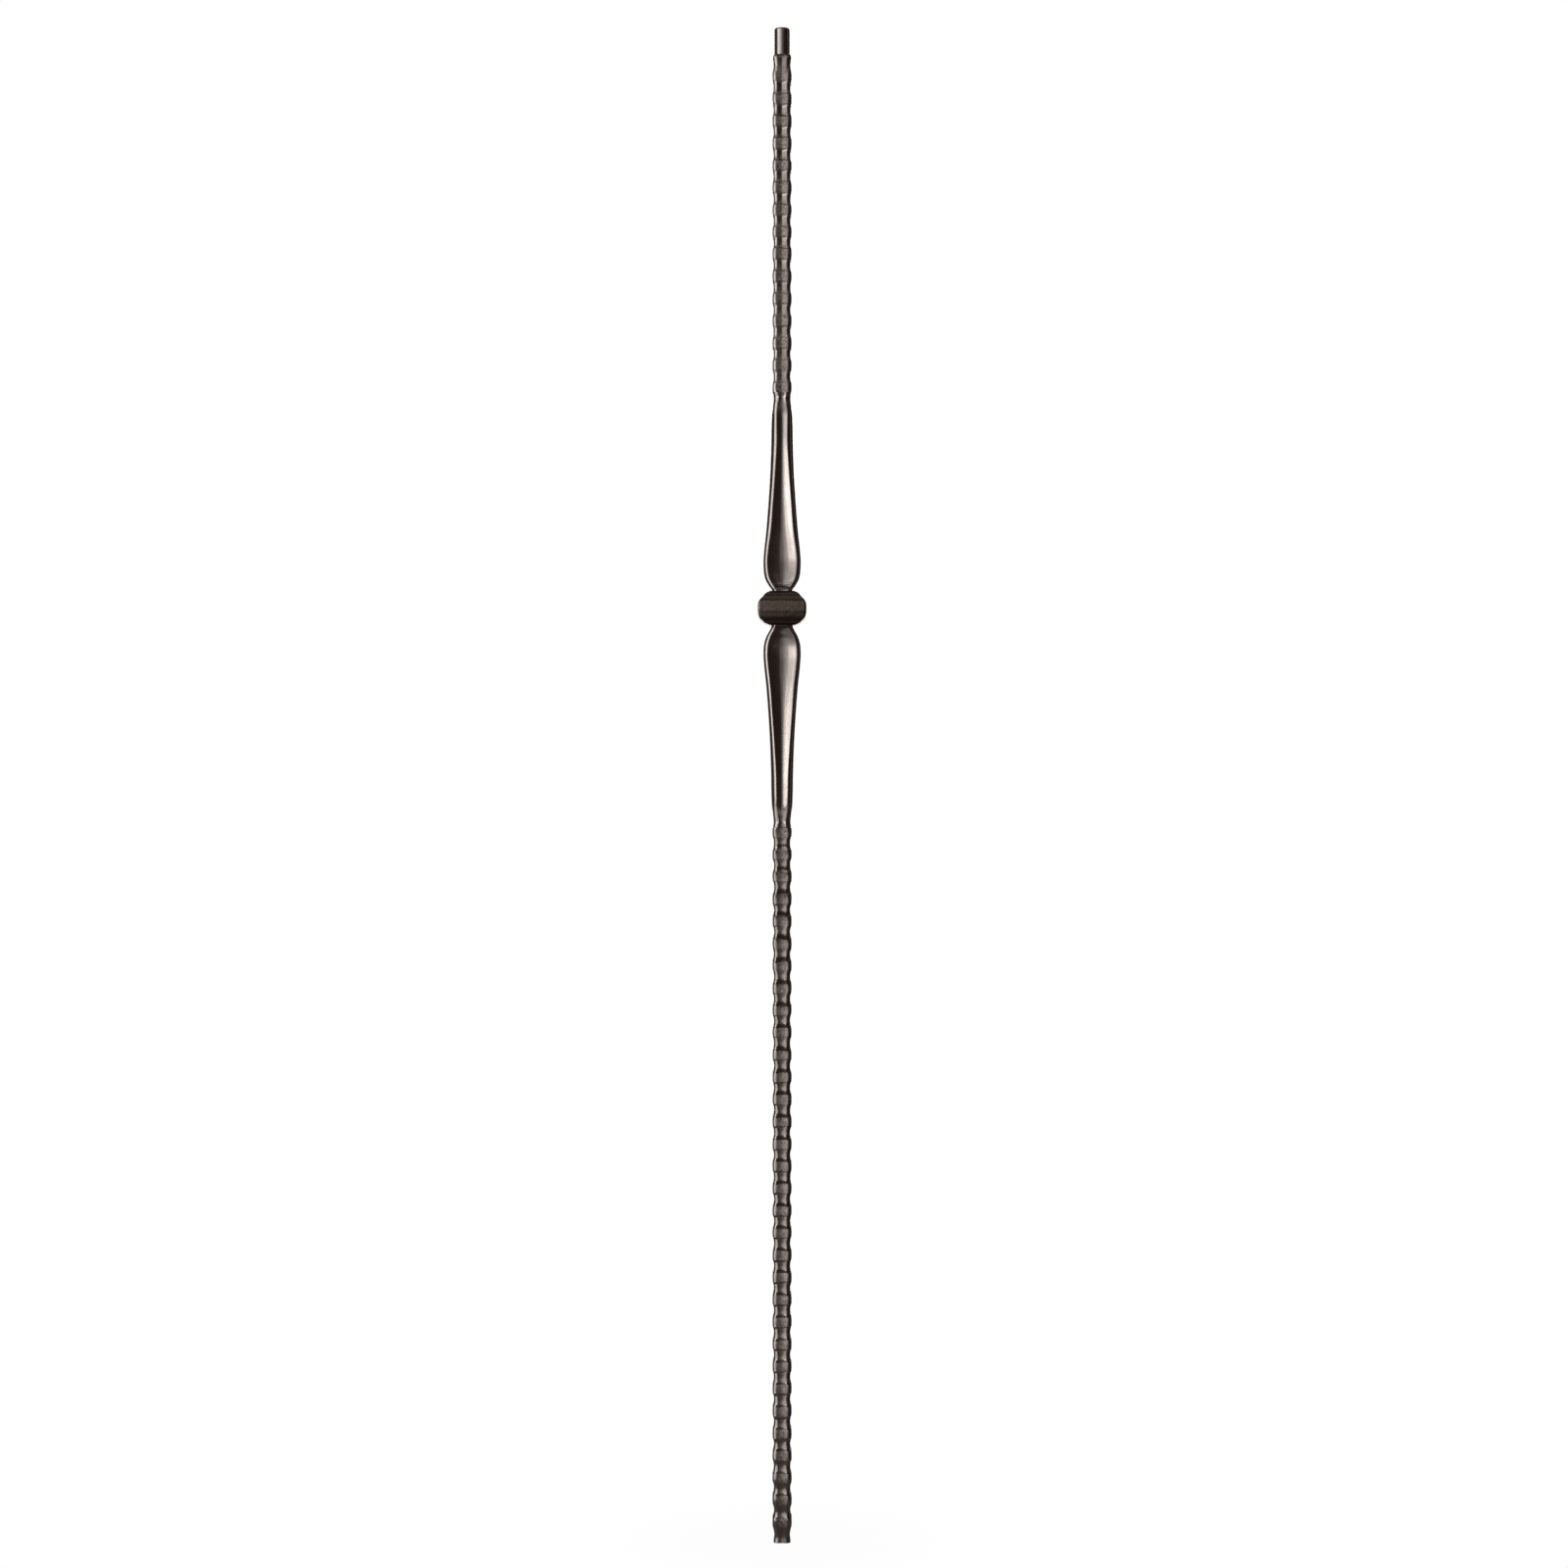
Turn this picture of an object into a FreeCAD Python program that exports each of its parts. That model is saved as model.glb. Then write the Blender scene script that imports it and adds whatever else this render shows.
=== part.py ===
import FreeCAD, Part
import math
import os

# A hammered iron stair baluster, upright: +Z up, origin at the centre of the foot's cut end. Millimetres.
# Seen from the front, along +Y, the dished faces of its two spoons lie open to the eye.
# One square bar is forged from foot to pin. A cast square knuckle sits round it between the spoons.

# Lengths along the bar, from the foot up
LOWER_SHAFT = 527.2
LOWER_SPOON = 149.2
KNUCKLE_HEIGHT = 26.4
UPPER_SPOON = 145.7
UPPER_SHAFT = 249.1
PIN_LENGTH = 20.0

# The hammered bar: lands left at full width, and dents struck between them on all four faces
BAR_WIDTH = 13.7
BAR_CORNER = 2.1
LAND_PITCH = 16.4
LAND_LENGTH = 6.2
LAND_HOLLOW = 0.3
DENT_DEPTH = 0.85
DENT_HOLLOW = 0.6

# Foot and head of the bar
FOOT_WIDTH = 12.3
FOOT_DENT_DEPTH = 1.2
FOOT_LAND_HEIGHT = 15.2
SHOULDER_WIDTH = 13.1
SHOULDER_END_WIDTH = 12.0
SHOULDER_LENGTH = 3.2
PIN_RADIUS = 5.75
PIN_CHAMFER = 1.2

# The spoons, pressed thin and dished on front and back, with a round nose along each edge
SPOON_WIDTH = 27.6
SPOON_THICKNESS = 8.4
SPOON_HOLLOW = 2.2
SPOON_RIM = 2.6
NECK_WIDTH = 15.4
NECK_RIM = 3.6
NECK_HOLLOW = 0.3
NECK_ROUNDNESS = 0.5
ROOT_LENGTH = 14.0
ROOT_WIDTH = 15.0
ROOT_ROUNDNESS = 0.2

# The cast knuckle
KNUCKLE_WIDTH = 35.8
KNUCKLE_END = 19.4
KNUCKLE_EASE = 1.0
KNUCKLE_CLEARANCE = 0.15
BORE_OVERRUN = 1.0

# Outline of a spoon from the knuckle outwards: share of its leaf's length, share of its widening
LEAF = (
    (0.0, 0.0), (0.033, 0.5), (0.083, 0.88), (0.15, 1.0),
    (0.25, 0.84), (0.42, 0.5), (0.64, 0.22), (0.84, 0.065),
)

KNUCKLE_BOTTOM = LOWER_SHAFT + LOWER_SPOON
KNUCKLE_TOP = KNUCKLE_BOTTOM + KNUCKLE_HEIGHT
UPPER_SHAFT_BOTTOM = KNUCKLE_TOP + UPPER_SPOON
SHOULDER_TOP = UPPER_SHAFT_BOTTOM + UPPER_SHAFT


def blend(start, end, share):
    return start + (end - start) * share


def ring(z, quarter):
    """Closed wire at height z from the curves of its right rear quarter, mirrored to the other three.

    Each curve is a list of control points: two for a straight line, three for a curve that leaves
    the first and reaches the last towards the middle one.
    """
    edges = []
    for x_sign, y_sign in ((1, 1), (1, -1), (-1, -1), (-1, 1)):
        curves = [[FreeCAD.Vector(x_sign * x, y_sign * y, z) for x, y in curve] for curve in quarter]
        if x_sign != y_sign:
            curves = [curve[::-1] for curve in reversed(curves)]
        for points in curves:
            edge = Part.BezierCurve()
            edge.setPoles(points)
            edges.append(edge.toShape())
    return Part.Wire(edges)


def bar_ring(z, width, hollow):
    """Square section with eased corners, each face hollowed to a shallow V along its middle."""
    half = width / 2
    face_middle = (0, half - hollow)
    face_end = (half - BAR_CORNER, half)
    side_end = face_end[::-1]
    side_middle = face_middle[::-1]
    return ring(z, [[face_middle, face_end], [face_end, side_end], [side_end, side_middle]])


def land_ring(z):
    return bar_ring(z, BAR_WIDTH, LAND_HOLLOW)


def valley_ring(z):
    return bar_ring(z, BAR_WIDTH - 2 * DENT_DEPTH, DENT_HOLLOW)


def spoon_ring(z, width, thickness, rim, hollow, roundness):
    """Spoon section: roundness 0 is the square bar's, 1 has a smooth dish and a round nose on each side.

    rim is how far the dish's edge stands in from the side, and thickness is measured over that edge.
    """
    half, edge = width / 2, thickness / 2
    nose = (rim ** 2 + edge ** 2) / (2 * rim)
    centre = half - nose
    edge_angle = math.atan2(edge, half - rim - centre)

    def on_nose(share, reach=1.0):
        angle = edge_angle * share
        return centre + nose * reach * math.cos(angle), nose * reach * math.sin(angle)

    side_middle = (blend(half - NECK_HOLLOW, half, roundness), 0)
    side_end = (half, edge - rim)
    dish_middle = (0, edge - hollow)
    dish_edge = (half - rim, edge)

    def middle(a, b):
        return ((a[0] + b[0]) / 2, (a[1] + b[1]) / 2)

    def rounded(square_point, round_point):
        return tuple(blend(a, b, roundness) for a, b in zip(square_point, round_point))

    corner_pull = 1 / math.cos(edge_angle / 3)
    side_pull = 1 / math.cos(edge_angle / 6)
    side_end_round = rounded(side_end, on_nose(1 / 3))
    return ring(z, [
        [dish_middle, rounded(middle(dish_middle, dish_edge), (dish_edge[0] / 2, dish_middle[1])), dish_edge],
        [dish_edge, rounded(middle(dish_edge, side_end), on_nose(2 / 3, corner_pull)), side_end_round],
        [side_end_round, rounded(middle(side_end, side_middle), on_nose(1 / 6, side_pull)), side_middle],
    ])


def leaf_ring(z, share):
    """Spoon section where the leaf has this share of its widening: 0 at the neck, 1 at its widest."""
    width = blend(NECK_WIDTH, SPOON_WIDTH, share)
    thickness = blend(NECK_WIDTH, SPOON_THICKNESS, share)
    rim = blend(NECK_RIM, SPOON_RIM, share)
    hollow = blend(NECK_HOLLOW, SPOON_HOLLOW, share)
    return spoon_ring(z, width, thickness, rim, hollow, blend(NECK_ROUNDNESS, 1, share))


def skin(rings):
    """Smooth side faces through the rings."""
    return Part.makeLoft(rings, False, False).Faces


def land_heights(first, last):
    """Middles of the lands, evenly spaced from the first to the last."""
    gaps = max(1, round((last - first) / LAND_PITCH))
    return [blend(first, last, i / gaps) for i in range(gaps + 1)]


def half_dent_skin(edge, valley, edge_width=BAR_WIDTH, depth=DENT_DEPTH, edge_hollow=LAND_HOLLOW):
    """Half of a dent, falling from its edge in a curve that levels out in the valley."""
    valley_width = BAR_WIDTH - 2 * depth
    rings = []
    for way in (0, 0.5, 1):
        fall = 1 - (1 - way) ** 2
        width = blend(edge_width, valley_width, fall)
        rings.append(bar_ring(blend(edge, valley, way), width, blend(edge_hollow, DENT_HOLLOW, fall)))
    return skin(rings)


def hammered_skin(heights):
    """Lands centred on the heights, with a dent between each two."""
    faces = []
    for height in heights:
        faces += skin([land_ring(height - LAND_LENGTH / 2), land_ring(height + LAND_LENGTH / 2)])
    for below, above in zip(heights, heights[1:]):
        valley = (below + above) / 2
        faces += half_dent_skin(below + LAND_LENGTH / 2, valley)
        faces += half_dent_skin(above - LAND_LENGTH / 2, valley)
    return faces


def spoon_skin(knuckle_face, shaft_end):
    """Skin of a spoon from the knuckle's face to the last land of its shaft, past the dent at its root."""
    way = math.copysign(1, shaft_end - knuckle_face)
    valley = shaft_end - way * (LAND_PITCH - LAND_LENGTH) / 2
    root = valley - way * ROOT_LENGTH
    leaf = root - knuckle_face
    rings = [leaf_ring(knuckle_face + leaf * along, share) for along, share in LEAF]
    rings += [
        spoon_ring(root, ROOT_WIDTH, ROOT_WIDTH, NECK_RIM, NECK_HOLLOW, NECK_ROUNDNESS),
        spoon_ring(blend(root, valley, 0.5), BAR_WIDTH, BAR_WIDTH, BAR_CORNER, LAND_HOLLOW, ROOT_ROUNDNESS),
        valley_ring(valley),
    ]
    return skin(rings) + half_dent_skin(shaft_end, valley)


def pin():
    """Round pin on the bar's shoulder, with a chamfered end."""
    body = Part.makeCylinder(PIN_RADIUS, PIN_LENGTH - PIN_CHAMFER)
    tip = Part.makeCone(PIN_RADIUS, PIN_RADIUS - PIN_CHAMFER, PIN_CHAMFER)
    tip.translate(FreeCAD.Vector(0, 0, PIN_LENGTH - PIN_CHAMFER))
    whole = body.fuse(tip)
    whole.translate(FreeCAD.Vector(0, 0, SHOULDER_TOP))
    return whole


def baluster_bar():
    """The forged bar, sewn from its skins, with the pin on its shoulder."""
    half_land = LAND_LENGTH / 2
    half_dent = LAND_PITCH / 2 - half_land
    foot_dent = FOOT_LAND_HEIGHT - half_land
    shoulder_bottom = SHOULDER_TOP - SHOULDER_LENGTH
    top_valley = shoulder_bottom - half_dent
    foot = bar_ring(0, FOOT_WIDTH, LAND_HOLLOW)
    shoulder_end = bar_ring(SHOULDER_TOP, SHOULDER_END_WIDTH, LAND_HOLLOW)
    faces = [Part.Face(foot), Part.Face(shoulder_end)]
    faces += half_dent_skin(0, foot_dent / 2, FOOT_WIDTH, FOOT_DENT_DEPTH)
    faces += half_dent_skin(foot_dent, foot_dent / 2, depth=FOOT_DENT_DEPTH)
    faces += hammered_skin(land_heights(FOOT_LAND_HEIGHT, LOWER_SHAFT - half_land))
    faces += spoon_skin(KNUCKLE_BOTTOM, LOWER_SHAFT)
    faces += skin([leaf_ring(KNUCKLE_BOTTOM, 0), leaf_ring(KNUCKLE_TOP, 0)])
    faces += spoon_skin(KNUCKLE_TOP, UPPER_SHAFT_BOTTOM)
    faces += hammered_skin(land_heights(UPPER_SHAFT_BOTTOM + half_land, top_valley - half_dent - half_land))
    faces += half_dent_skin(top_valley - half_dent, top_valley)
    faces += half_dent_skin(shoulder_bottom, top_valley, SHOULDER_WIDTH)
    faces += skin([bar_ring(shoulder_bottom, SHOULDER_WIDTH, LAND_HOLLOW), shoulder_end])
    shell = Part.makeShell(faces)
    shell.sewShape()
    return Part.makeSolid(shell).fuse(pin())


def barrel(reach, end, turn):
    """Block as high as the knuckle, with round sides left and right, lying along Y and then turned about Z.

    reach is half its width at mid height, and end is half the width of its flat top and bottom.
    """
    half_height = KNUCKLE_HEIGHT / 2
    top_right, side_right = FreeCAD.Vector(end, 0, half_height), FreeCAD.Vector(reach, 0, 0)
    bottom_right, bottom_left = FreeCAD.Vector(end, 0, -half_height), FreeCAD.Vector(-end, 0, -half_height)
    side_left, top_left = FreeCAD.Vector(-reach, 0, 0), FreeCAD.Vector(-end, 0, half_height)
    outline = Part.Wire([
        Part.Arc(top_right, side_right, bottom_right).toShape(),
        Part.LineSegment(bottom_right, bottom_left).toShape(),
        Part.Arc(bottom_left, side_left, top_left).toShape(),
        Part.LineSegment(top_left, top_right).toShape(),
    ])
    block = Part.Face(outline).extrude(FreeCAD.Vector(0, 2 * KNUCKLE_WIDTH, 0))
    block.translate(FreeCAD.Vector(0, -KNUCKLE_WIDTH, KNUCKLE_BOTTOM + half_height))
    block.rotate(FreeCAD.Vector(0, 0, 0), FreeCAD.Vector(0, 0, 1), turn)
    return block


def knuckle():
    """Square cushion with eased ridges, bored to the section of the bar's neck."""
    reach, end = KNUCKLE_WIDTH / 2, KNUCKLE_END / 2
    cushion = barrel(reach, end, 0).common(barrel(reach, end, 90))
    ridge_reach, ridge_end = (math.sqrt(2) * half - KNUCKLE_EASE for half in (reach, end))
    for turn in (45, 135):
        cushion = cushion.common(barrel(ridge_reach, ridge_end, turn))
    bore_width = NECK_WIDTH + 2 * KNUCKLE_CLEARANCE
    bore_ends = [
        spoon_ring(z, bore_width, bore_width, NECK_RIM, NECK_HOLLOW, NECK_ROUNDNESS)
        for z in (KNUCKLE_BOTTOM - BORE_OVERRUN, KNUCKLE_TOP + BORE_OVERRUN)
    ]
    return cushion.cut(Part.makeLoft(bore_ends, True))


os.makedirs("parts", exist_ok=True)
for name, shape in (("baluster_bar", baluster_bar()), ("knuckle", knuckle())):
    shape.exportStep(f"parts/{name}.step")
    print(name, "valid", shape.isValid(), "solids", len(shape.Solids), "volume", round(shape.Volume))
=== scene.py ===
import math
import bpy
import numpy as np
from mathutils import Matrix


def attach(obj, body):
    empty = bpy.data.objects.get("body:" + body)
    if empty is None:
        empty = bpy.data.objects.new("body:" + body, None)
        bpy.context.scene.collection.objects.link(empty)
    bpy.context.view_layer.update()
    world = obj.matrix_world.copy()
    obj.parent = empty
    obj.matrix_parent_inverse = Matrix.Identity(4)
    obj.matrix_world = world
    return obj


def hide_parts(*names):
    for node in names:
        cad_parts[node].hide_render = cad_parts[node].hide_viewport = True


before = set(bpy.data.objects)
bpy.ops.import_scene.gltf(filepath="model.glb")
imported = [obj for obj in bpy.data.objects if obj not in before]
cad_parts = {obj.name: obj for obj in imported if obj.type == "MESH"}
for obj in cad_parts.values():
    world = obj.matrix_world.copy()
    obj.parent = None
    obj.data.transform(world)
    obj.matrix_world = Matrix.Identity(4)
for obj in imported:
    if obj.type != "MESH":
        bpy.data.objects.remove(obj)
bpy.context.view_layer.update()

# The bar. One length of square iron, forged hot from foot to pin: hammered in a row
# of dents on all four faces, pressed thin and dished at the two spoons, and turned
# down to a round pin at the head. It is one surface here, closed at both ends.

MM = 0.001  # all the iron's sizes below are in millimetres
QUARTER = math.pi / 2
HALF_BAR = 7.12  # from the axis to the crown of a land
LAND, PITCH = 6.5, 16.4  # a land's length, and the way from one land's middle to the next one's
FOOT_TALL, FIRST_LAND = 11.9, 15.2
LOWER_SHAFT_TOP, KNUCKLE_BOTTOM = 527.2, 676.4  # the lower spoon lies between these heights
KNUCKLE_TOP, UPPER_SHAFT_BOTTOM = 702.8, 848.5  # and the upper spoon between these
LAST_LAND, HEAD_TALL, SHOULDER = 1081.1, 10.3, 1097.6
PIN_HALF, PIN_TALL, PIN_ROUND = 5.75, 20.0, 1.2
LAND_HOLLOW, FAINT_DISH, DISH_SLOPE = 0.46, 0.3, 0.42
PLACE_OFF, LENGTH_OFF, SLANT_OFF, DEPTH_OFF = 0.25, 0.3, 0.22, 0.07  # how far the hammer strays
hammer = np.random.default_rng(7)

# Where the surface's points lie: across a face, from -1 at one corner to 1 at the other, with a dent's
# fold at FOLD_PLACE, round a corner, and up a land and a dent, from 0 to 1.
FOLD_PLACE = -0.06
ACROSS = np.array([[-1, -0.9, -0.74, -0.56, -0.4, -0.26, -0.15, FOLD_PLACE,
                    0.03, 0.14, 0.28, 0.46, 0.66, 0.86]])
CORNER_STEPS = 6
UP_LAND = np.array([0, 0.03, 0.25, 0.5, 0.75, 0.97, 1])[:, None]
UP_DENT = np.array([0.01, 0.04, 0.09, 0.15, 0.23, 0.34, 0.5, 0.66, 0.77, 0.85, 0.91, 0.96, 0.99])[:, None]

# A spoon's sizes over the share of its way from the knuckle to the shaft: half its width, the reach of
# its rounded rim across and of its edge in depth, and the corner where it has turned square again.
SPOON_HALF = [
    (0, 7.7), (0.0185, 9.2), (0.0487, 11.65), (0.078, 13.05), (0.138, 13.85), (0.2, 13.3), (0.287, 11.95),
    (0.42, 10.4), (0.57, 9.1), (0.72, 8.3), (0.85, 7.95), (0.91, 7.5), (0.942, 6.7), (0.965, 6.2), (1, 6.7),
]
SPOON_RIM = [
    (0, 3.3), (0.058, 3.2), (0.138, 2.95), (0.28, 3.1), (0.43, 3.05), (0.6, 3.45), (0.75, 4.0), (0.85, 4.0),
    (0.93, 3.8), (1, 3.6),
]
SPOON_EDGE = [
    (0, 7.0), (0.007, 6.15), (0.02, 5.4), (0.035, 5.0), (0.05, 4.78), (0.08, 4.45), (0.14, 4.2), (0.22, 4.35),
    (0.42, 5.4), (0.6, 6.3), (0.8, 7.0), (0.9, 6.9), (0.942, 6.4), (0.965, 5.95), (1, 6.5),
]
SPOON_CORNER = [(0, 2.3), (0.02, 2.6), (0.1, 3.0), (0.84, 4.0), (0.927, 3.9), (1, 3.6)]


def smooth(share):
    """Rises from 0 to 1 and is level at both ends: three times the square less twice the cube."""
    share = np.clip(share, 0, 1)
    return share * share * (3 - 2 * share)


def held(way, start, rising, end, falling):
    """A smooth rise from 0 at start to 1 over rising, times a smooth fall from 1 at end to 0 over falling."""
    return smooth((way - start) / rising) * (1 - smooth((way - end) / falling))


def between(low, high, share):
    """Runs evenly from low to high as share goes from 0 to 1: low plus the share of their difference."""
    return low + (high - low) * share


def curve(points, at):
    """Cubic curve through points of (place, value), with the slope at each taken from its neighbours.

    Between two points it is the one cubic that has the values and the slopes of both.
    """
    place, value = np.array(points, float).T
    slope = np.gradient(value, place)
    i = np.clip(np.searchsorted(place, at) - 1, 0, len(place) - 2)
    step = place[i + 1] - place[i]
    t = np.clip((at - place[i]) / step, 0, 1)
    return (
        value[i] * (2 * t ** 3 - 3 * t ** 2 + 1) + value[i + 1] * (3 * t ** 2 - 2 * t ** 3)
        + step * (slope[i] * (t ** 3 - 2 * t ** 2 + t) + slope[i + 1] * (t ** 3 - t ** 2))
    )


def iron_surface(name, x, y, z, sharp, looped=False):
    """Mesh object from a grid of rings, going round along each row and up from row to row.

    Each face joins a point, the next one round and the two above them. A looped surface goes on from its
    last ring to its first, and any other has a fan over each end, from the mean of the end ring. An edge
    that turns by more than sharp degrees is a crisp one.
    """
    points = np.stack([x, y, z], axis=-1).reshape(-1, 3)
    index = np.arange(x.size).reshape(x.shape)
    if looped:
        index = np.vstack([index, index[:1]])
    onward = np.roll(index, -1, axis=1)
    faces = np.stack([index[:-1], onward[:-1], onward[1:], index[1:]], axis=-1).reshape(-1, 4).tolist()
    if not looped:
        ends = [[size[row].mean() for size in (x, y, z)] for row in (0, -1)]
        points = np.concatenate([points, ends])
        faces += np.stack([np.full(x.shape[1], x.size), onward[0], index[0]], axis=-1).tolist()
        faces += np.stack([np.full(x.shape[1], x.size + 1), index[-1], onward[-1]], axis=-1).tolist()
    mesh = bpy.data.meshes.new(name)
    mesh.from_pydata((points * MM).tolist(), [], faces)
    mesh.shade_smooth()
    mesh.set_sharp_from_angle(angle=math.radians(sharp))
    made = bpy.data.objects.new(name, mesh)
    bpy.context.scene.collection.objects.link(made)
    return made


def square_rings(half, corner, hollow, fold):
    """Rings of a square bar with round corners and hollow faces.

    half is each face's distance from the axis, front, right, back, left, and the corner arcs join
    neighbouring faces. A face sinks by hollow times one less its distance from the fold's place to the
    power fold, so that fold 1 makes a V and fold 2 a round hollow. A ring starts at the front face's left.
    """
    x, y = [], []
    for face in range(4):
        turn = face * QUARTER
        out, before, after = half[:, [face]], half[:, [face - 1]], half[:, [(face + 1) % 4]]
        reach = np.where(ACROSS < FOLD_PLACE, (FOLD_PLACE - ACROSS) / (1 + FOLD_PLACE),
                         (ACROSS - FOLD_PLACE) / (1 - FOLD_PLACE))
        off = out - hollow * (1 - reach ** fold)
        along = -(before - corner) * (1 - ACROSS) / 2 + (after - corner) * (1 + ACROSS) / 2
        angle = np.arange(CORNER_STEPS)[None] / CORNER_STEPS * QUARTER
        off = np.hstack([off, out - corner + corner * np.cos(angle)])
        along = np.hstack([along, after - corner + corner * np.sin(angle)])
        x.append(along * math.cos(turn) + off * math.sin(turn))
        y.append(along * math.sin(turn) - off * math.cos(turn))
    return np.hstack(x), np.hstack(y)


def spoon_rings(half, edge, rim, dish, bottom):
    """Rings of a spoon: a dish on front and back, meeting a round nose on each side at a crease.

    The nose is half an ellipse from crease to crease, its tip at half and its reaches rim and edge.
    The dish is a V with a round bottom: from its full depth in the middle it rises to the creases
    with the root of t squared plus bottom squared, t being the share of its half width.
    """
    side = ACROSS.size + 2 * CORNER_STEPS
    angle = math.pi * (np.arange(side)[None] / side - 0.5)
    risen = (np.sqrt(ACROSS ** 2 + bottom ** 2) - bottom) / (np.sqrt(1 + bottom ** 2) - bottom)
    dish_x, dish_y = ACROSS * (half - rim), -(edge - dish * (1 - risen))
    nose_x, nose_y = half - rim + rim * np.cos(angle), edge * np.sin(angle)
    return np.hstack([dish_x, nose_x, -dish_x, -nose_x]), np.hstack([dish_y, nose_y, -dish_y, -nose_y])


def stretch(height, half, corner, hollow, fold, slant=0, rough=0,
            roundness=0, edge=0, rim=0, dish=0, bottom=0):
    """One stretch of the bar as rows from its lower end up, each with the sizes of both kinds of ring.

    height, half and slant are for each face, and the others for the row: roundness is the spoon ring's
    share in it, and rough the land's skin's. A size that is given once holds for all rows, and one that
    is given by row for all faces.
    """
    def laid_out(size, wide):
        size = np.asarray(size, float)
        return np.broadcast_to(size[:, None] if size.ndim == 1 else size, (len(height), wide))

    by_face = dict(height=height, half=half, slant=slant)
    by_row = dict(corner=corner, hollow=hollow, fold=fold, rough=rough, roundness=roundness,
                  edge=edge, rim=rim, dish=dish, bottom=bottom)
    return {**{name: laid_out(size, 4) for name, size in by_face.items()},
            **{name: laid_out(size, 1) for name, size in by_row.items()}}


def in_turn(lands, dents):
    """Rows of lands and dents as they follow each other up the bar, with a land first and last."""
    pairs = np.concatenate([lands[:-1], dents], axis=1)
    return np.concatenate([pairs.reshape(-1, lands.shape[2]), lands[-1]])


def shaft(first, last, crown, depth, power, fold, corners, hollows, dull):
    """A hammered shaft from the first land's middle to the last's.

    A land is crowned: it falls by crown at its ends, with the square of the way out. A dent falls on to
    depth by one less the given power of the way out from its middle. Each land's ends stand a little off
    and a little aslant on each face, and each dent is a little deeper or shallower, at random. A row's
    corner and hollow run evenly from the land's to the dent's with how far it has sunk, and the dent's
    hollow from the first to the second of hollows up the shaft. The land's rough skin fades out over a
    dent's first and last fifth, to dull at the shaft's lower end and evenly less above it.
    """
    count = round((last - first) / PITCH) + 1
    middles = np.linspace(first, last, count)[:, None] + hammer.normal(0, PLACE_OFF, (count, 4))
    lengths = LAND + hammer.normal(0, LENGTH_OFF, (count, 4))
    low_slant, high_slant = hammer.normal(0, SLANT_OFF, (2, count, 1, 4))
    deeper = 1 + hammer.normal(0, DEPTH_OFF, (count, 1, 4))
    low, high = (middles - lengths / 2)[:, None], (middles + lengths / 2)[:, None]
    height = in_turn(between(low, high, UP_LAND), between(high[:-1], low[1:], UP_DENT))
    slant = in_turn(between(low_slant, high_slant, UP_LAND),
                    between(high_slant[:-1], low_slant[1:], UP_DENT))
    fall = in_turn(crown * (2 * UP_LAND - 1) ** 2 + 0 * low,
                   between(crown, depth * deeper[:-1], 1 - np.abs(2 * UP_DENT - 1) ** power))
    rough = in_turn(np.ones((count, len(UP_LAND), 1)),
                    1 - smooth(np.minimum(UP_DENT, 1 - UP_DENT) / 0.2) + np.zeros((count - 1, 1, 1)))
    sunk = np.clip((fall.mean(axis=1) - crown) / (depth - crown), 0, 1)
    up = (height.mean(axis=1) - first) / (last - first)
    hollow = between(LAND_HOLLOW, between(*hollows, up), sunk)
    rough = np.maximum(rough[:, 0], dull * (1 - up))
    return stretch(height, HALF_BAR - fall, between(*corners, sunk), hollow, fold, slant, rough)


def spoon(face, length, wider, stout, early, opening):
    """A spoon from the knuckle's face to its shaft, going down where length is negative.

    Its sizes follow the curves above. Its half width is greater by wider close to the knuckle, and its
    rim by stout along the middle. The dish opens smoothly over the share opening of the way, which
    starts early by a share, and it shuts before the shaft. Its depth is what gives its sides
    DISH_SLOPE, and its bottom is the rounder the wider the spoon is.
    """
    way = np.concatenate([
        np.linspace(0, 0.03, 8)[:-1], np.linspace(0.03, 0.2, 34)[:-1], np.linspace(0.2, 0.9, 74)[:-1],
        np.linspace(0.9, 0.998, 16),
    ])
    half = curve(SPOON_HALF, way) + wider * held(way, start=0, rising=0.02, end=0.05, falling=0.06)
    rim = curve(SPOON_RIM, way) + stout * held(way, start=0.15, rising=0.2, end=0.75, falling=0.15)
    edge = curve(SPOON_EDGE, way)
    bottom = between(0.5, 1, smooth((half - 9.5) / 4))
    opened = held(way, start=-early, rising=opening, end=0.865, falling=0.08)
    deep = DISH_SLOPE * (half - rim) * (np.sqrt(1 + bottom ** 2) - bottom)
    hollow = between(0.3, 0.6, held(way, start=0.9, rising=0.06, end=0.97, falling=0.03))
    made = stretch(face + length * way, np.stack([edge, half, edge, half], axis=1),
                   curve(SPOON_CORNER, way), hollow, fold=2, roundness=1 - smooth((way - 0.86) / 0.1),
                   edge=edge, rim=rim, dish=between(FAINT_DISH, deep, opened), bottom=bottom)
    return made if length > 0 else {name: size[::-1] for name, size in made.items()}


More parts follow.
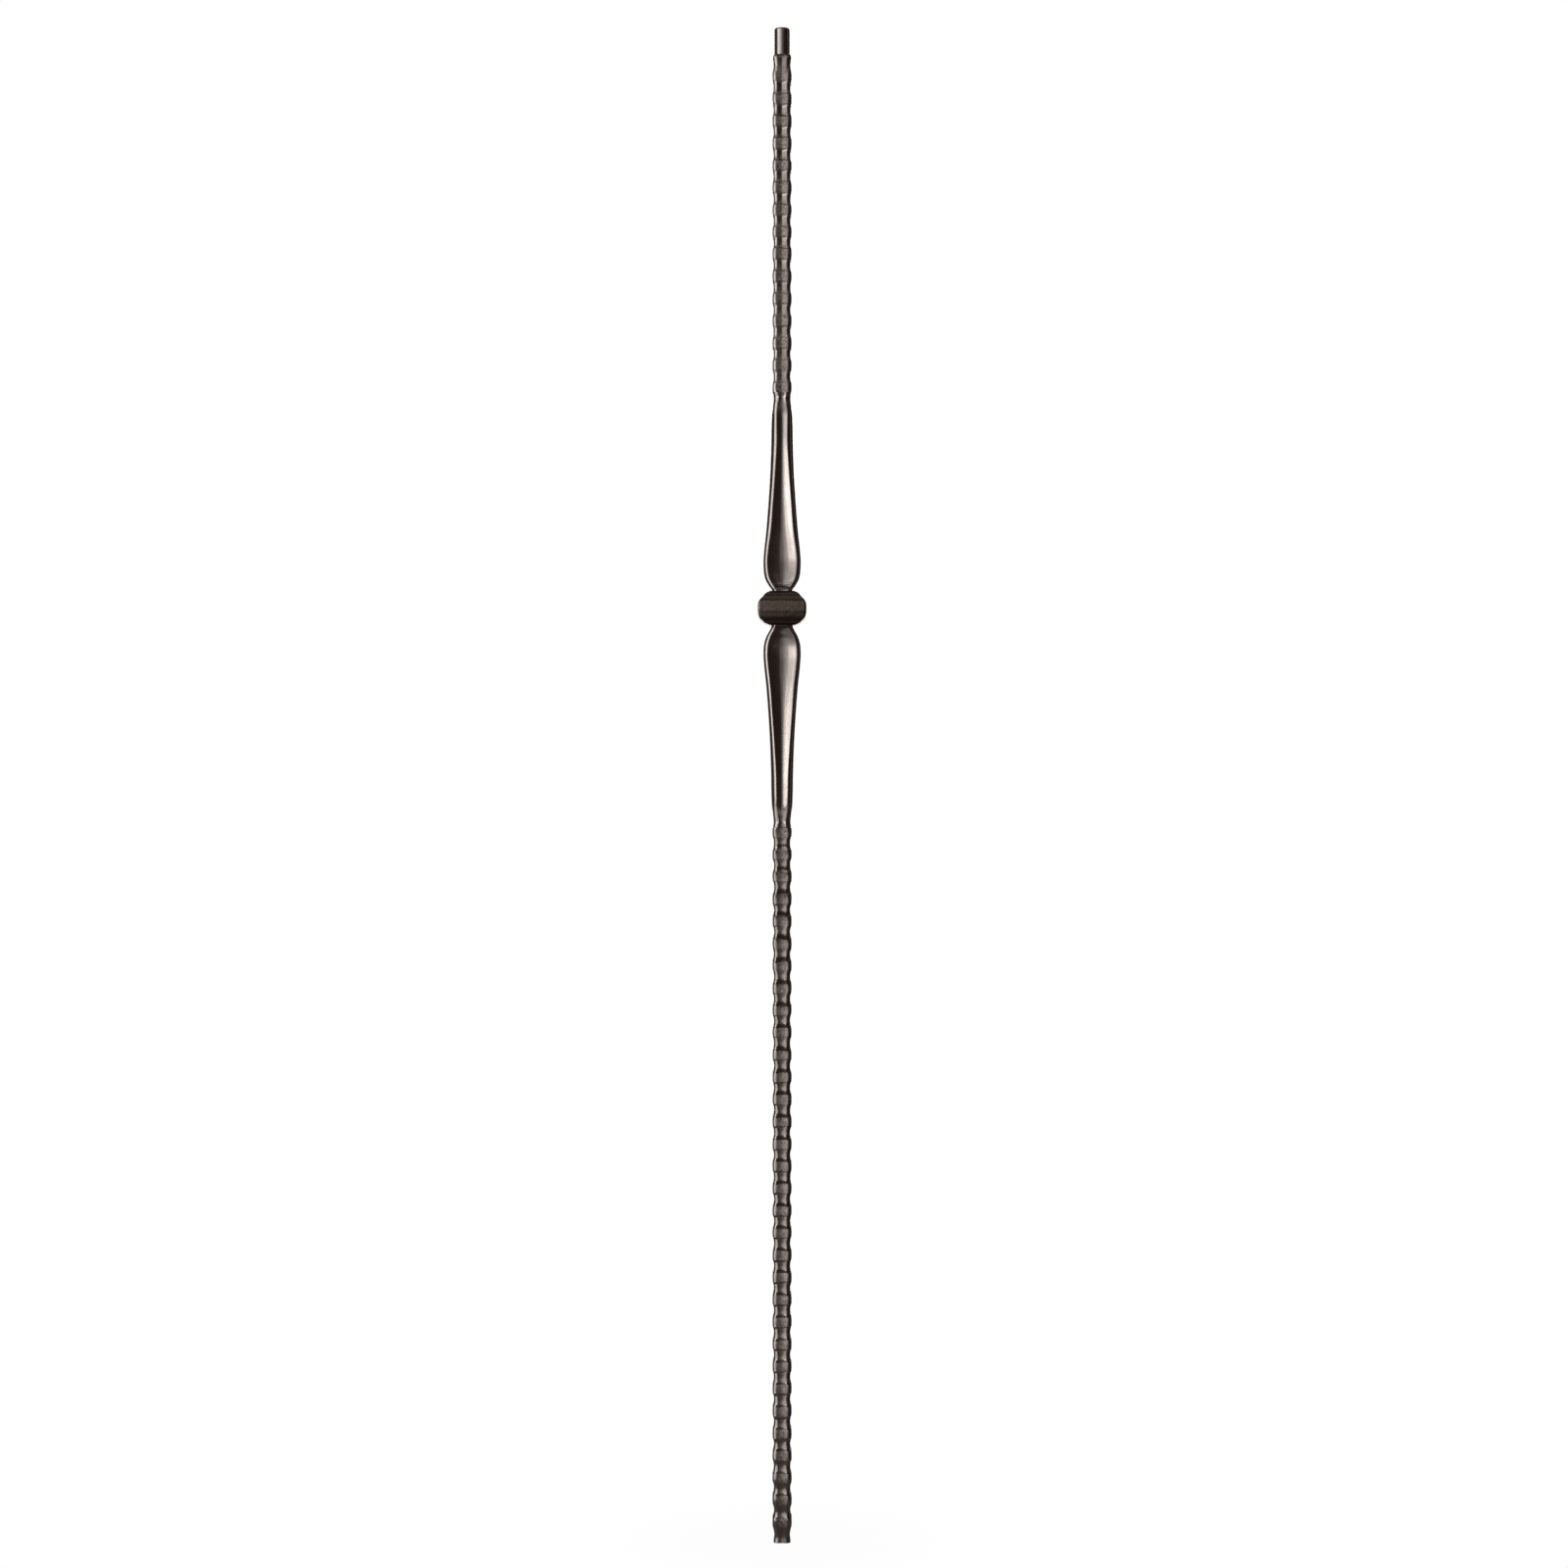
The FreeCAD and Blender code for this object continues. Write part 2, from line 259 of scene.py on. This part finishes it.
foot_way = np.array([0, 0.03, 0.12, 0.25, 0.4, 0.55, 0.7, 0.82, 0.92, 0.98])
foot_half = curve([(0, 6.3), (0.5, 5.75), (1, 6.85)], foot_way)
head_way = np.array([0.02, 0.06, 0.14, 0.25, 0.4, 0.55, 0.7, 0.85, 0.95, 1])
head_half = curve([(0, 6.9), (0.45, 6.3), (1, 6.75)], head_way)
stretches = [
    stretch(FOOT_TALL * foot_way, foot_half, corner=3.4, hollow=0.4, fold=2),
    shaft(FIRST_LAND, LOWER_SHAFT_TOP - LAND / 2, crown=0.16, depth=1.1, power=2.15, fold=1.8,
          corners=(3.0, 3.1), hollows=(0.52, 0.54), dull=0),
    spoon(KNUCKLE_BOTTOM, LOWER_SHAFT_TOP - KNUCKLE_BOTTOM, wider=-0.2, stout=0, early=0.01, opening=0.08),
    stretch(np.linspace(KNUCKLE_BOTTOM, KNUCKLE_TOP, 12)[1:-1], 7.6, corner=2.3, hollow=0.3, fold=2,
            roundness=1, edge=7.4, rim=3.3, dish=FAINT_DISH, bottom=1),
    spoon(KNUCKLE_TOP, UPPER_SHAFT_BOTTOM - KNUCKLE_TOP, wider=0.45, stout=0.5, early=0.018, opening=0.065),
    shaft(UPPER_SHAFT_BOTTOM + LAND / 2, LAST_LAND, crown=0.14, depth=0.88, power=2.5, fold=1.15,
          corners=(2.7, 2.75), hollows=(0.45, 0.95), dull=0.6),
    stretch(LAST_LAND + LAND / 2 + HEAD_TALL * head_way, head_half, corner=3.2, hollow=0.45, fold=1.15),
    stretch(SHOULDER - np.array([2.2, 1.3, 0.6, 0.15]), np.array([6.7, 6.5, 6.25, 6.0]),
            corner=2.6, hollow=0.2, fold=1.5),
]
rows = {name: np.concatenate([part[name] for part in stretches]) for name in stretches[0]}
square_x, square_y = square_rings(rows["half"], rows["corner"], rows["hollow"], rows["fold"])
spoon_x, spoon_y = spoon_rings(rows["half"][:, [1]], rows["edge"], rows["rim"], rows["dish"], rows["bottom"])
bar_x = between(square_x, spoon_x, rows["roundness"])
bar_y = between(square_y, spoon_y, rows["roundness"])

# A face's rows lie aslant by slant over half the face, and a corner's run evenly from face to face.
bar_z = []
for face in range(4):
    height, slant = rows["height"][:, [face]], rows["slant"][:, [face]]
    next_height, next_slant = rows["height"][:, [(face + 1) % 4]], rows["slant"][:, [(face + 1) % 4]]
    corner_share = np.arange(CORNER_STEPS)[None] / CORNER_STEPS
    bar_z += [height + slant * ACROSS, between(height + slant, next_height - next_slant, corner_share)]
bar_z = np.hstack(bar_z)

# The pin's rings keep the turns of the shoulder's last one. Its root flares a little, and its top edge
# is a quarter of a circle.
pin_turn = np.arctan2(bar_y[-1], bar_x[-1])
bow = np.linspace(0, 1, 7) * QUARTER
pin_rise = np.concatenate([[0.02, 0.35, 1.2], np.linspace(3, 18, 8),
                           PIN_TALL - PIN_ROUND + PIN_ROUND * np.sin(bow)])
pin_reach = np.concatenate([[PIN_HALF + 0.05], np.full(10, PIN_HALF),
                            PIN_HALF - PIN_ROUND + PIN_ROUND * np.cos(bow)])
bar_x = np.vstack([bar_x, pin_reach[:, None] * np.cos(pin_turn)])
bar_y = np.vstack([bar_y, pin_reach[:, None] * np.sin(pin_turn)])
bar_z = np.vstack([bar_z, SHOULDER + np.tile(pin_rise[:, None], bar_x.shape[1])])
bar = iron_surface("forged_bar", bar_x, bar_y, bar_z, sharp=28)

# The rough skin's share at each point falls evenly to none by the corners, over SKIN_FADE of half a
# face. The pin and the two end points have none.
SKIN_FADE = 0.25
off_corner = np.tile(np.append(np.clip((1 - np.abs(ACROSS)) / SKIN_FADE, 0, 1), np.zeros(CORNER_STEPS)), 4)
skin_share = np.vstack([rows["rough"], np.zeros((len(pin_rise), 1))]) * off_corner
land_skin = bar.data.attributes.new("land", "FLOAT", "POINT")
land_skin.data.foreach_set("value", np.append(skin_share.ravel(), [0, 0]).astype(np.float32))


def start_material(name):
    """A node material: gives it, its tree, its shader and its object coordinates."""
    made = bpy.data.materials.new(name)
    made.use_nodes = True
    tree = made.node_tree
    return made, tree, tree.nodes["Principled BSDF"], tree.nodes.new("ShaderNodeTexCoord").outputs["Object"]


def noise(tree, place, scale, detail, roughness):
    """Even noise with scale lumps to the metre, to which detail finer layers are added.

    Each layer is twice as fine as the last and roughness times as strong.
    """
    made = tree.nodes.new("ShaderNodeTexNoise")
    made.inputs["Scale"].default_value = scale
    made.inputs["Detail"].default_value = detail
    made.inputs["Roughness"].default_value = roughness
    tree.links.new(place, made.inputs["Vector"])
    return made.outputs["Fac"]


def spread_to(tree, value, low, high, to_low, to_high):
    """Runs evenly from to_low to to_high as value goes from low to high, and stays level beyond them."""
    made = tree.nodes.new("ShaderNodeMapRange")
    for socket, number in zip(("From Min", "From Max", "To Min", "To Max"), (low, high, to_low, to_high)):
        made.inputs[socket].default_value = number
    tree.links.new(value, made.inputs["Value"])
    return made.outputs["Result"]


def combined(tree, kind, first, second):
    """Two values added (ADD) or multiplied (MULTIPLY), or the greater of them (MAXIMUM)."""
    made = tree.nodes.new("ShaderNodeMath")
    made.operation = kind
    for socket, value in zip(made.inputs, (first, second)):
        if isinstance(value, (int, float)):
            socket.default_value = value
        else:
            tree.links.new(value, socket)
    return made.outputs[0]


def mixed(tree, share, first, second, kind="RGBA"):
    """Two colours, or two numbers if kind is FLOAT, mixed evenly: first at share 0 and second at share 1."""
    made = tree.nodes.new("ShaderNodeMix")
    made.data_type = kind
    tree.links.new(share, made.inputs["Factor"])
    for socket, value in ((made.inputs["A"], first), (made.inputs["B"], second)):
        if isinstance(value, tuple):
            socket.default_value = (*value, 1)
        else:
            tree.links.new(value, socket)
    return made.outputs["Result"]


def bump(tree, height, strength, distance):
    """A surface that rises by distance in metres as height goes from 0 to 1, seen at that strength."""
    made = tree.nodes.new("ShaderNodeBump")
    made.inputs["Strength"].default_value = strength
    made.inputs["Distance"].default_value = distance
    tree.links.new(height, made.inputs["Height"])
    return made.outputs["Normal"]


# The forged finish: smooth and streaked along the bar in the dents, and rough and mottled on the lands.
METALLIC = 0.96
DENT_DARK, DENT_PALE = (0.103, 0.0895, 0.081), (0.141, 0.1255, 0.117)
LAND_DARK, LAND_PALE = (0.069, 0.0555, 0.047), (0.192, 0.165, 0.149)
forged, tree, shader, place = start_material("forged_iron_finish")
land = tree.nodes.new("ShaderNodeAttribute")
land.attribute_name = "land"
land = land.outputs["Fac"]
grain = noise(tree, place, scale=1300, detail=4, roughness=0.6)
cloud = noise(tree, place, scale=90, detail=3, roughness=0.55)
mottle = noise(tree, place, scale=650, detail=5, roughness=0.68)
drawn_out = tree.nodes.new("ShaderNodeMapping")
drawn_out.inputs["Scale"].default_value = (1, 1, 0.08)
tree.links.new(place, drawn_out.inputs["Vector"])
streaks = noise(tree, drawn_out.outputs["Vector"], scale=1100, detail=3, roughness=0.6)
speckle = combined(tree, "ADD", combined(tree, "MULTIPLY", grain, 0.6),
                   combined(tree, "MULTIPLY", streaks, 0.4))
dent_tone = mixed(tree, spread_to(tree, speckle, 0.36, 0.64, 0, 1), DENT_DARK, DENT_PALE)
land_tone = mixed(tree, spread_to(tree, mottle, 0.36, 0.64, 0, 1), LAND_DARK, LAND_PALE)
dent_roughness = spread_to(tree, cloud, 0.3, 0.7, 0.165, 0.205)
land_roughness = spread_to(tree, mottle, 0.35, 0.65, 0.31, 0.38)
tree.links.new(mixed(tree, land, dent_tone, land_tone), shader.inputs["Base Color"])
shader.inputs["Metallic"].default_value = METALLIC
tree.links.new(mixed(tree, land, dent_roughness, land_roughness, "FLOAT"), shader.inputs["Roughness"])
fine = combined(tree, "MULTIPLY", grain, spread_to(tree, land, 0, 1, 0.12, 1.6))
tree.links.new(bump(tree, fine, strength=0.5, distance=0.00006), shader.inputs["Normal"])
bar.data.materials.append(forged)
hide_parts("baluster_bar")
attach(bar, "root")

# The knuckle. A small square cushion of cast iron with a sand-rough skin, threaded
# on the bar and caught between the spoons. Its four sides bulge in arcs, and its top
# and bottom close in round the bar.

KNUCKLE_TALL = 25.3
KNUCKLE_LIMIT = 17.89  # the lumps of its skin reach no farther out
KNUCKLE_CORNER = 1.2
BORE_HALF, BORE_CORNER = 7.9, 2.3
ARC_RADIUS, ARC_OUT = 14.7, 3.15  # of the arc up the front and back, and its centre's way from the axis
KNUCKLE_HALF = [
    (0, 9.7), (0.6, 11.2), (1.4, 12.7), (2.9, 14.25), (4.5, 15.9), (6, 16.85), (8.3, 17.65), (11, 17.85),
    (13.8, 17.85), (15.6, 17.7), (17.1, 17.2), (18.6, 16.4), (20, 15.2), (21.3, 14), (23.2, 12.55),
    (24.5, 11), (25.3, 9.4),
]
SKIN_WAVES, SKIN_DEPTH, SKIN_FINENESS = 90, 0.022, (1.2, 5.0)
TURN_STEPS, RISE_STEPS = 320, 110
around = np.arange(TURN_STEPS) / TURN_STEPS * 2 * math.pi
rise = KNUCKLE_TALL * (1 - np.cos(np.linspace(0, math.pi, RISE_STEPS)[:, None])) / 2
side = curve(KNUCKLE_HALF, rise)


def square_reach(angle, half, corner):
    """Distance from the axis to a square with round corners, at angles round it.

    It is half over the greater of cosine and sine on the flats. In a corner it is the far crossing
    of the ray with a circle of radius corner that touches both flats.
    """
    a = np.abs((angle + math.pi / 4) % QUARTER - math.pi / 4)
    flat = half / np.cos(a)
    centre = half - corner
    away = centre * (np.cos(a) + np.sin(a))
    under = np.maximum(away ** 2 - 2 * centre ** 2 + corner ** 2, 0)
    return np.where(half * np.tan(a) > centre, away + np.sqrt(under), flat)


# The skin is a sum of sine waves in all directions, each growing in phase by so many radians to the
# millimetre, from the first to the second of SKIN_FINENESS. SKIN_DEPTH is its root mean square.
reach = square_reach(around - QUARTER, side, KNUCKLE_CORNER)
skin_x, skin_y = reach * np.cos(around), reach * np.sin(around)
lump = np.random.default_rng(3)
skin = np.zeros_like(reach)
for wave in range(SKIN_WAVES):
    way_x, way_y, way_z = lump.normal(0, 1, 3)
    fineness = lump.uniform(*SKIN_FINENESS) / math.sqrt(way_x ** 2 + way_y ** 2 + way_z ** 2)
    phase = lump.uniform(0, 2 * math.pi)
    skin += np.sin(fineness * (way_x * skin_x + way_y * skin_y + way_z * rise) + phase)
reach = reach + skin * (SKIN_DEPTH / math.sqrt(SKIN_WAVES / 2))

# Three rings of the plain bore follow the outside's, from the top down. In depth the sides are drawn in
# to the arc of the front and back.
bore = square_reach(around - QUARTER, np.full((3, 1), BORE_HALF), BORE_CORNER)
bore_rise = KNUCKLE_TALL * np.array([[0.999], [0.5], [0.001]])
front = ARC_OUT + np.sqrt(ARC_RADIUS ** 2 - (rise - KNUCKLE_TALL / 2) ** 2)
knuckle_x = np.vstack([reach * np.cos(around), bore * np.cos(around)])
knuckle_y = np.vstack([reach * np.sin(around) * np.minimum(1, front / side), bore * np.sin(around)])
knuckle_z = KNUCKLE_BOTTOM + np.vstack([rise, bore_rise]) + 0 * knuckle_x
knuckle = iron_surface("cast_knuckle", np.clip(knuckle_x, -KNUCKLE_LIMIT, KNUCKLE_LIMIT),
                       np.clip(knuckle_y, -KNUCKLE_LIMIT, KNUCKLE_LIMIT), knuckle_z, sharp=40, looped=True)

# The cast finish: darker, browner and duller than the bar's, with the grain of the moulding sand.
SAND_DARK, SAND_PALE = (0.052, 0.040, 0.031), (0.090, 0.071, 0.058)
cast, tree, shader, place = start_material("cast_iron_finish")
sand = noise(tree, place, scale=1150, detail=4, roughness=0.65)
blotch = noise(tree, place, scale=140, detail=2, roughness=0.5)
cast_tone = mixed(tree, spread_to(tree, sand, 0.35, 0.65, 0, 1), SAND_DARK, SAND_PALE)
tree.links.new(cast_tone, shader.inputs["Base Color"])
shader.inputs["Metallic"].default_value = METALLIC
tree.links.new(spread_to(tree, blotch, 0.3, 0.7, 0.21, 0.26), shader.inputs["Roughness"])
tree.links.new(bump(tree, sand, strength=0.5, distance=0.00011), shader.inputs["Normal"])
knuckle.data.materials.append(cast)
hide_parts("knuckle")
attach(knuckle, "root")

# The studio, in metres. White wall and floor, lit by a bank of small soft boxes from the
# left round to the right. A brown card keeps the bank's upper and lower rows apart, and
# more boxes stand low over the card, at the right, above and behind.

BOX_AWAY, BOX_WIDE, BOX_TALL = 2.0, 0.5, 0.34
PANEL_TURN, PANEL_HEIGHT = -38, 0.545
LEVEL, DOWN, UP = 90, 0, 180


def soft_box(name, azimuth, distance, height, width, tall, radiance, facing=LEVEL):
    """Soft box at a place round the bar, in degrees from the front, negative to the camera's left.

    It stands at distance times the azimuth's sine across and less its cosine in depth, and faces level to
    the axis, or up or down. Its power is radiance times its area times pi. The camera doesn't see it.
    """
    data = bpy.data.lights.new(name, "AREA")
    data.shape = "RECTANGLE"
    data.size, data.size_y = width, tall
    data.energy = radiance * width * tall * math.pi
    made = bpy.data.objects.new(name, data)
    turn = math.radians(azimuth)
    made.location = (distance * math.sin(turn), -distance * math.cos(turn), height)
    made.rotation_euler = (math.radians(facing), 0, turn)
    made.visible_camera = False
    bpy.context.scene.collection.objects.link(made)


# The bank: the boxes' turns round the bar, and for each row's height the radiance of its boxes.
BANK_TURNS = (-75, -62, -50, -38, -26, -14, 0, 18, 45)
BANK = {
    3.3: (1.2, 4.8, 4.0, 4.0, 4.5, 3.0, 1.0, 1.0, 0.5),
    2.4: (1.4, 5.8, 4.2, 2.6, 3.8, 2.7, 1.2, 1.4, 1.0),
    2.0: (1.2, 5.8, 4.4, 1.5, 1.5, 1.5, 0.5, 0.5, 0.3),
    1.66: (1.0, 6.0, 5.2, 4.2, 2.8, 1.6, 0.9, 0.3, 0),
    1.34: (1.6, 8.0, 6.0, 4.0, 2.2, 2.0, 0.5, 0.2, 0),
    1.02: (1.6, 7.6, 4.4, 4.4, 2.7, 1.4, 0.3, 0, 0),
    0.7: (1.0, 4.6, 4.0, 10.0, 7.2, 2.4, 0.9, 0, 0),
    0.38: (1.4, 5.4, 3.6, 1.6, 2.2, 2.0, 1.4, 0.5, 0.2),
    0.1: (1.6, 5.6, 3.4, 1.6, 2.5, 2.3, 1.5, 0.7, 0),
    -0.2: (1.4, 5.0, 3.0, 2.4, 2.2, 1.4, 0.6, 0.5, 0),
    -0.56: (1.5, 5.0, 3.0, 3.0, 2.0, 0.9, 0.4, 0.4, 0),
    -0.92: (1.8, 5.6, 3.6, 3.4, 1.8, 0.8, 0.5, 0.4, 0),
    -1.3: (2.0, 6.4, 4.4, 4.2, 2.8, 1.6, 1.0, 0.7, 0.2),
}
for height, row in BANK.items():
    for turn, radiance in zip(BANK_TURNS, row):
        if radiance:
            soft_box("soft_box", turn, BOX_AWAY, height, BOX_WIDE, BOX_TALL, radiance)

# Four panels lie on each other over the card, so that their light fades outwards, and one nearer in.
for share in (0.45, 0.65, 0.85, 1.05):
    soft_box("low_panel", PANEL_TURN, distance=0.86, height=PANEL_HEIGHT, width=0.9 * share,
             tall=0.84 * share, radiance=1.1, facing=UP)
soft_box("near_panel", PANEL_TURN, distance=0.24, height=PANEL_HEIGHT, width=0.3, tall=0.24,
         radiance=0.6, facing=UP)
soft_box("side_box", 97, BOX_AWAY, height=1.0, width=0.3, tall=3.4, radiance=0.8)
soft_box("top_box", 0, distance=0, height=2.6, width=0.9, tall=0.9, radiance=0.5, facing=DOWN)
soft_box("back_box", 180, BOX_AWAY, height=1.5, width=1.3, tall=1.0, radiance=3.0)
soft_box("low_back_box", 180, BOX_AWAY, height=0, width=1.3, tall=0.8, radiance=3.0)


def studio_surface(name, points, faces):
    """A plain mesh object from points and the faces that join them."""
    mesh = bpy.data.meshes.new(name)
    mesh.from_pydata(np.asarray(points).tolist(), [], np.asarray(faces).tolist())
    return bpy.data.objects.new(name, mesh)


# The card is a flat ring's front part round the bar: points at two radii over an even run of turns.
CARD_HEIGHT = 0.535
card_turn = np.radians(np.linspace(-44, 45, 35))
card_reach = np.array([[0.085], [1.35]])
card_points = np.stack([card_reach * np.sin(card_turn), -card_reach * np.cos(card_turn),
                        CARD_HEIGHT + 0 * card_reach * card_turn], axis=-1).reshape(-1, 3)
inner, outer = np.arange(card_turn.size * 2).reshape(2, -1)
flag = studio_surface("flag", card_points, np.stack([inner[:-1], inner[1:], outer[1:], outer[:-1]], axis=-1))
flag.visible_camera = False
brown = bpy.data.materials.new("brown_card")
brown.use_nodes = True
card_shader = brown.node_tree.nodes["Principled BSDF"]
card_shader.inputs["Base Color"].default_value = (0.1, 0.072, 0.06, 1)
card_shader.inputs["Roughness"].default_value = 1
flag.data.materials.append(brown)
bpy.context.scene.collection.objects.link(flag)

FLOOR_RADIUS, FLOOR_STEPS = 0.16, 96
WALL_HALF, WALL_TALL, WALL_AWAY = 1.6, 3, 3
rim_turn = np.arange(FLOOR_STEPS) / FLOOR_STEPS * 2 * math.pi
rim = np.stack([FLOOR_RADIUS * np.cos(rim_turn), FLOOR_RADIUS * np.sin(rim_turn), 0 * rim_turn], axis=-1)
floor = studio_surface("studio_floor", rim, [np.arange(FLOOR_STEPS)])
wall_corners = [(-WALL_HALF, WALL_AWAY, 0), (WALL_HALF, WALL_AWAY, 0),
                (WALL_HALF, WALL_AWAY, WALL_TALL), (-WALL_HALF, WALL_AWAY, WALL_TALL)]
wall = studio_surface("studio_wall", wall_corners, [(0, 1, 2, 3)])
floor.visible_shadow = False
for piece in (floor, wall):
    bpy.context.scene.collection.objects.link(piece)

# White paper. To the camera it is white, and a little greyer close to the foot: painted shade, over a faint
# trace of the bar's real shadow. In what the iron mirrors, the floor round the foot is painted dark, as
# shade, and the wall is white.
PAPER_PAINTED_SHADE, PAPER_FAR = (0.08, 0.066, 0.058), (0.9, 0.9, 0.9)
paper = bpy.data.materials.new("white_paper")
paper.use_nodes = True
tree = paper.node_tree
tree.nodes.clear()
output = tree.nodes.new("ShaderNodeOutputMaterial")
diffuse = tree.nodes.new("ShaderNodeBsdfDiffuse")
glow = tree.nodes.new("ShaderNodeEmission")
glow.inputs["Color"].default_value = (1, 1, 1, 1)
paths = tree.nodes.new("ShaderNodeLightPath")
from_foot = tree.nodes.new("ShaderNodeVectorMath")
from_foot.operation = "LENGTH"
tree.links.new(tree.nodes.new("ShaderNodeTexCoord").outputs["Object"], from_foot.inputs[0])
# Painted shade: the camera's share of white glow falls a little close to the foot, and the iron's share is
# low over the whole floor.
near = spread_to(tree, from_foot.outputs["Value"], 0.02, 0.15, 0.975, 1.0)
far = spread_to(tree, from_foot.outputs["Value"], 0.17, 0.3, 0.12, 1.0)
mirrored = combined(tree, "MAXIMUM", paths.outputs["Is Glossy Ray"], paths.outputs["Is Transmission Ray"])
white = combined(tree, "MAXIMUM", combined(tree, "MULTIPLY", paths.outputs["Is Camera Ray"], near),
                 combined(tree, "MULTIPLY", mirrored, far))
tree.links.new(mixed(tree, far, PAPER_PAINTED_SHADE, PAPER_FAR), diffuse.inputs["Color"])
sheet = tree.nodes.new("ShaderNodeMixShader")
tree.links.new(white, sheet.inputs["Fac"])
tree.links.new(diffuse.outputs[0], sheet.inputs[1])
tree.links.new(glow.outputs[0], sheet.inputs[2])
tree.links.new(sheet.outputs[0], output.inputs["Surface"])
floor.data.materials.append(paper)
wall.data.materials.append(paper)

# The room is white to the camera, and dark and warm to the iron.
ROOM_DARK, ROOM_WHITE = (0.070, 0.040, 0.029), (1, 1, 1)
world = bpy.data.worlds.new("studio_world")
bpy.context.scene.world = world
world.use_nodes = True
tree = world.node_tree
paths = tree.nodes.new("ShaderNodeLightPath")
room = mixed(tree, paths.outputs["Is Camera Ray"], ROOM_DARK, ROOM_WHITE)
tree.links.new(room, tree.nodes["Background"].inputs["Color"])

# The camera looks level at the bar's middle. The frame shows FRAME_WIDE millimetres at the axis.
SENSOR, CAMERA_AWAY, FRAME_WIDE = 36, 2250, 1158.6
camera = bpy.data.objects.new("camera", bpy.data.cameras.new("camera"))
camera.data.sensor_width = SENSOR
camera.data.lens = SENSOR * CAMERA_AWAY / FRAME_WIDE
camera.location = (0.0014, -CAMERA_AWAY * MM, 0.5595)
camera.rotation_euler = (QUARTER, 0, 0)
bpy.context.scene.collection.objects.link(camera)
bpy.context.scene.camera = camera
bpy.context.scene.view_settings.view_transform = "Standard"
